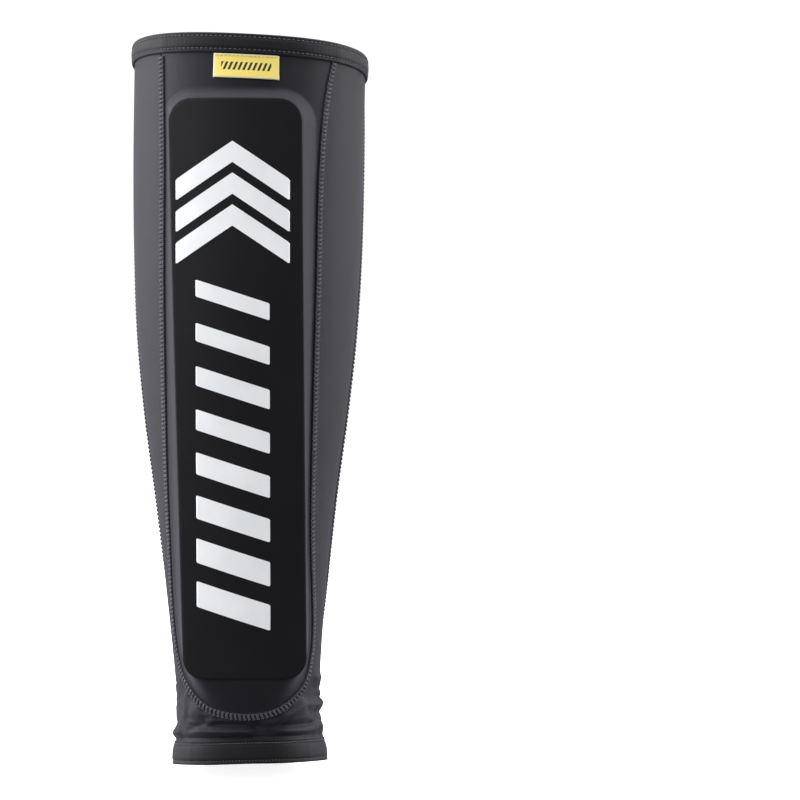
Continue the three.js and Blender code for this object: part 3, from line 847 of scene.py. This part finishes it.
def back_mesh_panel():
    """The calf's mesh: knots and holes stand on a lattice with an even pitch."""
    step = MESH_PITCH / 2
    low, high = between_edges(180, 0), between_edges(180, 1)
    levels = np.arange(low, high, MESH_ROW)
    levels = np.linspace(low, high, len(levels))
    widest = 110
    count = int(widest / step)
    across = np.arange(-count, count + 1) * step
    share = (levels - low) / (high - low)
    rows, places = [], []
    for j, (level, part) in enumerate(zip(levels, share)):
        spread = mesh_spread(level)
        turn = np.linspace(180 - spread, 180 + spread, 240)
        line = leg_point(turn, between_edges(turn, part))
        run = np.r_[0, np.cumsum(np.linalg.norm(np.diff(line, axis=0), axis=1))]
        run -= run[-1] / 2
        s = np.clip(across, run[0], run[-1])
        at = np.interp(s, run, turn)
        knot = (np.arange(len(across)) + count + j) % 2
        edge_fade = np.clip((run[-1] - np.abs(s)) / 4, 0, 1)
        rows.append(cloth_point(at, between_edges(at, part), -0.28 * (1 - knot) * edge_fade))
        places.append(np.stack([s + step * (count % 2), np.full(len(s), j * MESH_ROW)], -1))
    piece = grid_piece("back_mesh_panel", np.stack(rows), MESH_LOOK, np.stack(places))
    merge_close(piece)
    thicken(piece, CLOTH)
    return in_place(piece, "sleeve", "calf_mesh", "back_mesh_panel")


# ---------------------------------------------------------------------------------------------
# Hems, seams, stitches


def seam_bumps(turn):
    """The little steps in a hem where the panels' seams run through it."""
    proud = 0
    for at in (-41, 50, 180 - 62, 180 + 62):
        away = (turn - at + 180) % 360 - 180
        proud = proud + 0.25 * np.exp(-((away / 3.0) ** 2))
    return proud


def hem_section(height, rise, flare=0.0):
    """A soft folded band: rounded fold at height 0, pinched at its two stitch rows, and standing
    further out at the fold by flare."""
    inner = -CLOTH - 2.4
    outer = HEM_PROUD
    far = np.linspace(0.9, height - 0.5, 26)
    rows = (1.85, height - 1.85)
    pinch = sum(0.38 * np.exp(-(((far - r) / 0.75) ** 2)) for r in rows)
    swell = 0.3 * np.sin(math.pi * np.clip((far - 1) / (height - 2), 0, 1))
    swell += flare * (0.5 - far / height)
    face = [(outer - p + s, -f) for f, p, s in zip(far, pinch, swell)]
    fold = [(inner + 0.25, -0.5), (inner + 0.9, -0.12), (-0.9, 0.0), (0.3, -0.08),
            (0.95 + flare / 2, -0.35)]
    lip = [(0.95 - flare / 2, 0.15 - height), (0.55, -height), (0.42, 0.35 - height),
           (0.4, -1.6), (-1.2, -1.1), (-CLOTH - 1.4, -1.6), (-CLOTH - 1.4, -height),
           (inner, -height), (inner, -1.2)]
    section = fold + face + lip
    return section if rise > 0 else [(proud, -z) for proud, z in section][::-1]


def hem_stitches(name, edge, low):
    """One row of straight stitches round a hem."""
    columns = int(362 / HEM_PITCH)
    turn = np.arange(columns) * 360 / columns
    line_turn = np.append(turn, 360.0)
    z = edge(line_turn) + low
    proud = HEM_PROUD - 0.3 + seam_bumps(line_turn)
    line = leg_point(line_turn, z, proud)
    out = outward_at(turn + 180 / columns, z[:-1])
    gap = (line[1:] - line[:-1]) * 0.13
    piece = threads(name, line[:-1] + gap, line[1:] - gap, out, 0.24, THREAD_LOOK)
    return in_place(piece, "sleeve", "seam_thread", name)


def hems():
    """Both hems, with the elastic inside them and their stitch rows."""
    made = {}
    top, bottom = hem_section(TOP_HEM, 1), hem_section(BOTTOM_HEM, -1, 0.8)
    made["top"] = hoop("top_hem", top, top_edge, HEM_LOOK, 900, seam_bumps_on(top))
    made["bottom"] = hoop("bottom_hem", bottom, bottom_edge, HEM_LOOK, 900, seam_bumps_on(bottom))
    in_place(made["top"], "sleeve", "hem_band", "top_hem")
    in_place(made["bottom"], "sleeve", "hem_band", "bottom_hem")
    tape = [(-1.0, 0), (-1.0, 5), (0.1, 5), (0.1, 0)]
    low_tape = hoop("bottom_elastic", [(p, z + 1.8) for p, z in tape], bottom_edge, ELASTIC_LOOK)
    high_tape = hoop("top_elastic", [(p, z - 6.8) for p, z in tape], top_edge, ELASTIC_LOOK)
    in_place(low_tape, "sleeve", "elastic", "bottom_elastic")
    in_place(high_tape, "sleeve", "elastic", "top_elastic")
    rows = [
        ("top_hem_stitch_upper", top_edge, -1.85), ("top_hem_stitch_lower", top_edge, 1.85 - TOP_HEM),
        ("bottom_hem_stitch_upper", bottom_edge, BOTTOM_HEM - 1.85),
        ("bottom_hem_stitch_lower", bottom_edge, 1.85),
    ]
    for name, edge, low in rows:
        made[name] = hem_stitches(name, edge, low)
    return made


def seam_bumps_on(section):
    """Seam steps only on the outer leaf of a hem."""
    outer = np.array([1.0 if proud > 0.5 else 0.0 for proud, _ in section])[:, None]

    def bumps(turn):
        stitch = 0.02 * np.cos(turn * (int(362 / HEM_PITCH) * math.pi / 180))
        return outer * (seam_bumps(turn) + stitch)

    return bumps


def flat_seam(name, turn, z):
    """Flat-lock seam: a low ridge along (turn, z) with two needle rows and threads across it."""
    centre = cloth_point(turn, z)
    out = outward_at(turn, z)
    along = np.gradient(centre, axis=0)
    along /= np.linalg.norm(along, axis=1, keepdims=True)
    side = np.cross(along, out)
    half = SEAM_WIDTH / 2
    sag = np.abs(along[:, 2]) / (2 * np.maximum(leg_radius(turn, z), 20))
    profile = [(-1, -0.1), (-0.94, 0.22), (-0.72, 0.46), (-0.4, 0.4), (0, 0.46), (0.4, 0.4),
               (0.72, 0.46), (0.94, 0.22), (1, -0.1)]

    def lifted(reach, proud):
        """Places beside the line that keep to the bent cloth."""
        return centre + side * reach + out * (proud - sag * reach**2)[:, None]

    grid = np.stack([lifted(s * half, proud) for s, proud in profile])
    run = np.r_[0, np.cumsum(np.linalg.norm(np.diff(centre, axis=0), axis=1))]
    places = np.stack(
        [np.broadcast_to(np.array([p[0] * half for p in profile])[:, None], grid.shape[:2]),
         np.broadcast_to(run, grid.shape[:2])], -1)
    # The ridge's darker cloth colour is painted shade between the threads.
    ridge = grid_piece(name, grid, SEAM_PAINTED_SHADE_LOOK, places, flip=True)
    thicken(ridge, 0.35)
    in_place(ridge, "sleeve", "seam_thread", name)

    stitches = int(run[-1] / SEAM_PITCH)
    spots = np.linspace(0, run[-1], stitches + 1)

    def at(run_mm, reach):
        """Place and outward direction at a distance along the seam."""
        ridge_row = lifted(reach * half, 0.42 + 0 * run)
        place = np.stack([np.interp(run_mm, run, ridge_row[:, k]) for k in range(3)], -1)
        away = np.stack([np.interp(run_mm, run, out[:, k]) for k in range(3)], -1)
        return place, away

    starts, ends, ups = [], [], []

    def stitch(from_run, from_reach, to_run, to_reach):
        start, up = at(from_run, from_reach)
        end, _ = at(to_run, to_reach)
        starts.append(start)
        ends.append(end)
        ups.append(up)

    for row in (-0.62, 0.62):
        stitch(spots[:-1] + 0.12 * SEAM_PITCH, row, spots[1:] - 0.12 * SEAM_PITCH, row)
    for lag in (0.0, 0.28):
        stitch(spots[:-1] + lag * SEAM_PITCH, -0.8, spots[:-1] + (lag + 0.42) * SEAM_PITCH, 0.8)
    piece = threads(f"{name}_thread", np.concatenate(starts), np.concatenate(ends),
                    np.concatenate(ups), 0.28, THREAD_LOOK)
    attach(piece, "sleeve")
    return ridge, piece


def seams():
    turn, z = seam_line(1000)
    keep = z < top_edge(turn) - TOP_HEM + 0.5
    front = flat_seam("front_seam", turn[keep], z[keep])
    level = np.linspace(between_edges(180, 0), between_edges(180, 1), 520)
    share = (level - level[0]) / (level[-1] - level[0])
    made = [*front]
    for side, name in ((-1, "back_seam_left"), (1, "back_seam_right")):
        turn = side * (180 - mesh_spread(level))
        z = between_edges(turn, share)
        keep = (z < top_edge(turn) - TOP_HEM + 0.5) & (z > bottom_edge(turn) + BOTTOM_HEM - 0.5)
        made += flat_seam(name, turn[keep], z[keep])
    return made


# ---------------------------------------------------------------------------------------------
# Print and label


def band_mark(name, half, top_line, thick, node):
    """A printed mark whose upper edge follows top_line(x) and which is thick tall."""
    lift, film = 0.03, 0.22
    t = np.linspace(-1, 1, 65)
    x = half * t
    corner = 0.5
    trim = corner * np.clip(1 - (half - np.abs(x)) / corner, 0, 1) ** 2
    top = top_line(x) - trim
    bottom = top_line(x) - thick + trim
    rows = np.linspace(0, 1, 9)[:, None]
    z = bottom + (top - bottom) * rows
    front = on_face(MARK_MIDDLE + x + 0 * z, z, -lift - film)
    rim = on_face(MARK_MIDDLE + x * 1.002 + 0 * z[:1], z[:1], 0.05)
    far = on_face(MARK_MIDDLE + x * 1.002 + 0 * z[-1:], z[-1:], 0.05)
    grid = np.concatenate([rim, front, far])
    piece = grid_piece(name, grid, PRINT_LOOK, grid[..., [0, 2]])
    thicken(piece, 0.12)
    return in_place(piece, "sleeve", "white_print", node)


def printed_marks():
    """Plain chevrons over a column of slanted bars."""
    for i in range(3):
        tip = 307 - 15 * i
        band_mark(f"print_chevron_{i + 1}", 27, lambda x, tip=tip: tip - 18 * np.abs(x) / 27, 10,
                  f"print_chevron_{i + 1}")
    for i in range(8):
        z = 236 - 20.4 * i
        fall = math.tan(math.radians(18))
        band_mark(f"print_bar_{i + 1}", 17.5, lambda x, z=z, fall=fall: z - x * fall, 8 + 0.6 * i,
                  f"print_bar_{i + 1}")


def woven_label():
    """The label flap, sewn along its upper edge, with its row of stitches."""
    middle = turn_at(LABEL_MIDDLE, 340.0)
    spread = math.degrees(LABEL_WIDTH / 2 / leg_radius(0.0, 340.0))
    u = np.linspace(-1, 1, 63)
    v = np.linspace(0, 1, 25)[:, None]
    turn = middle + spread * u + 0 * v
    z = top_edge(turn) - TOP_HEM - 0.4 - (1 - v) * LABEL_HEIGHT
    curl = 0.35 * (1 - v) ** 2 + 0.12 * (1 - v) * np.sin(2.6 * u + 0.7)
    rim = 0.14 * np.maximum(np.abs(u) - 0.96, 0) / 0.04
    grid = leg_point(turn, z, 1.0 + curl - rim)
    places = np.stack(np.broadcast_arrays((u + 1) / 2 * LABEL_WIDTH, v * LABEL_HEIGHT), -1)
    label = grid_piece("woven_label", grid, LABEL_LOOK, places)
    thicken(label, 0.5)
    in_place(label, "label", "woven_label", "woven_label")
    count = 15
    at = middle + spread * np.linspace(-0.95, 0.95, count + 1)
    high = top_edge(at) - TOP_HEM - 1.3
    line = leg_point(at, high, 1.0)
    out = outward_at((at[1:] + at[:-1]) / 2, high[1:])
    gap = (line[1:] - line[:-1]) * 0.14
    stitches = threads("label_stitches", line[:-1] + gap, line[1:] - gap, out, 0.16, LABEL_THREAD_LOOK)
    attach(stitches, "label")
    return label, stitches


# ---------------------------------------------------------------------------------------------
# Studio


def studio():
    """Pale floor, white surroundings, soft side and top lights."""
    scene = bpy.context.scene
    bpy.ops.mesh.primitive_circle_add(vertices=96, radius=12, fill_type="NGON", location=(0, 0, -0.0006))
    floor = bpy.context.object
    floor.name = "floor"
    floor.data.materials.append(studio_floor())

    world = bpy.data.worlds.new("studio")
    scene.world = world
    world.use_nodes = True
    tree = world.node_tree
    shown = tree.nodes["Background"]
    shown.inputs["Color"].default_value = (1, 1, 1, 1)
    shown.inputs["Strength"].default_value = 1.05
    lit = tree.nodes.new("ShaderNodeBackground")
    lit.inputs["Strength"].default_value = 0.8
    path = tree.nodes.new("ShaderNodeLightPath")
    mix = tree.nodes.new("ShaderNodeMixShader")
    tree.links.new(path.outputs["Is Camera Ray"], mix.inputs[0])
    tree.links.new(lit.outputs[0], mix.inputs[1])
    tree.links.new(shown.outputs[0], mix.inputs[2])
    tree.links.new(mix.outputs[0], tree.nodes["World Output"].inputs["Surface"])

    def softbox(name, place, size, energy, aim=(0, 0, 0.19)):
        data = bpy.data.lights.new(name, "AREA")
        data.shape = "RECTANGLE"
        data.size, data.size_y = size
        data.energy = energy
        light = bpy.data.objects.new(name, data)
        light.location = place
        light.rotation_euler = (Vector(aim) - Vector(place)).to_track_quat("-Z", "Y").to_euler()
        scene.collection.objects.link(light)

    softbox("left_box", (-1.25, 0.1, 0.40), (0.9, 1.5), 42)
    softbox("right_box", (1.25, 0.25, 0.40), (0.9, 1.5), 28)
    softbox("top_box", (0, 0.1, 1.7), (1.6, 1.6), 42)
    softbox("front_left", (-0.9, -1.5, 0.9), (0.7, 0.7), 14)
    scene.view_settings.view_transform = "Standard"
    scene.view_settings.look = "None"


def photo_camera():
    """Level with the middle of the guard and a little to its right."""
    lens = bpy.data.cameras.new("camera")
    lens.lens = 103.5
    lens.sensor_width = 36
    lens.clip_start, lens.clip_end = 0.05, 60
    camera = bpy.data.objects.new("camera", lens)
    camera.location = put([76, -1150, 184.8]).tolist()
    camera.rotation_euler = (math.pi / 2, 0, 0)
    bpy.context.scene.collection.objects.link(camera)
    bpy.context.scene.camera = camera


# ---------------------------------------------------------------------------------------------
# Assembly

photo_camera()
studio()
rays = pad_rays()
body = body_panel()
shin = shin_panel(rays)
face = pad_face(rays)
foam = pad_foam(rays)
lining = pad_lining(rays)
calf = back_mesh_panel()
hem = hems()
seam = seams()
printed_marks()
label, label_stitches = woven_label()
